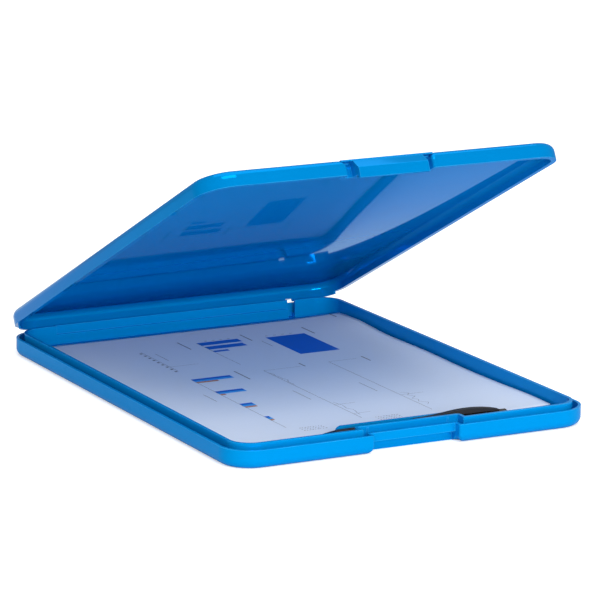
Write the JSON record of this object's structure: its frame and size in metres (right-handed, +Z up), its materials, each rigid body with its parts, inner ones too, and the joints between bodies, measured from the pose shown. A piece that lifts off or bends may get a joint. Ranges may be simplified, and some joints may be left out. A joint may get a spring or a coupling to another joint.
{
  "type": "storage clipboard",
  "caption": "Shallow moulded storage clipboard: a letter-size tray with a hinged lid standing ajar, a low spring clip on the lid, loose paper and a retractable pen inside.",
  "frame": {"origin": "centre of the tray's flat underside", "axes": "+X across the case to the right seen from the opening side, +Y from the front latch towards the hinge, +Z up"},
  "size_m": [0.2414, 0.3435, 0.1685],
  "materials": {
    "blue_plastic": "polished moulded polystyrene",
    "pin_steel": "bright drawn wire",
    "sheet_steel": "nickel-plated pressed sheet",
    "spring_steel": "drawn spring wire",
    "grip_rubber": "moulded",
    "paper": "uncoated office paper",
    "printed_paper": "uncoated office paper with blue and orange chart blocks",
    "pen_plastic": "glossy",
    "pen_rubber": "ribbed",
    "pen_nose_metal": "glossy",
    "refill": "translucent tube with a metal point"
  },
  "bodies": {
    "tray": {"tray": "blue_plastic", "hinge_pin_left": "pin_steel", "hinge_pin_right": "pin_steel", "paper_stack": "paper", "printed_sheet": "printed_paper", "pen_barrel": "pen_plastic", "pen_grip": "pen_rubber", "pen_nose": "pen_nose_metal", "pen_end_ring": "pen_plastic", "pen_clip": "pen_plastic", "pen_spring": "spring_steel"},
    "lid": {"lid": "blue_plastic", "clip_base": "sheet_steel", "clip_rivets": "pin_steel", "clip_rod": "pin_steel", "clip_spring": "spring_steel"},
    "clip_lever": {"clip_lever": "sheet_steel", "jaw_grips": "grip_rubber"},
    "pen_plunger": {"pen_button": "pen_plastic", "pen_refill": "refill"}
  },
  "joints": [
    {"name": "lid_hinge", "type": "hinge", "parent": "tray", "child": "lid", "pos_m": [0, 0.1714, 0.0105], "axis": [-1, 0, 0], "range_deg": [-26, 89]},
    {"name": "clip_pivot", "type": "hinge", "parent": "lid", "child": "clip_lever", "pos_m": [0, 0.13962, 0.04435], "axis": [-1, 0, 0], "range_deg": [0, 20], "stiffness_Nm_per_rad": 0.35, "springref_deg": -34.38},
    {"name": "pen_click", "type": "slide", "parent": "tray", "child": "pen_plunger", "axis": [-1, 0, 0], "range_m": [0, 0.0045], "stiffness_N_per_m": 250, "springref_m": -0.003}
  ]
}
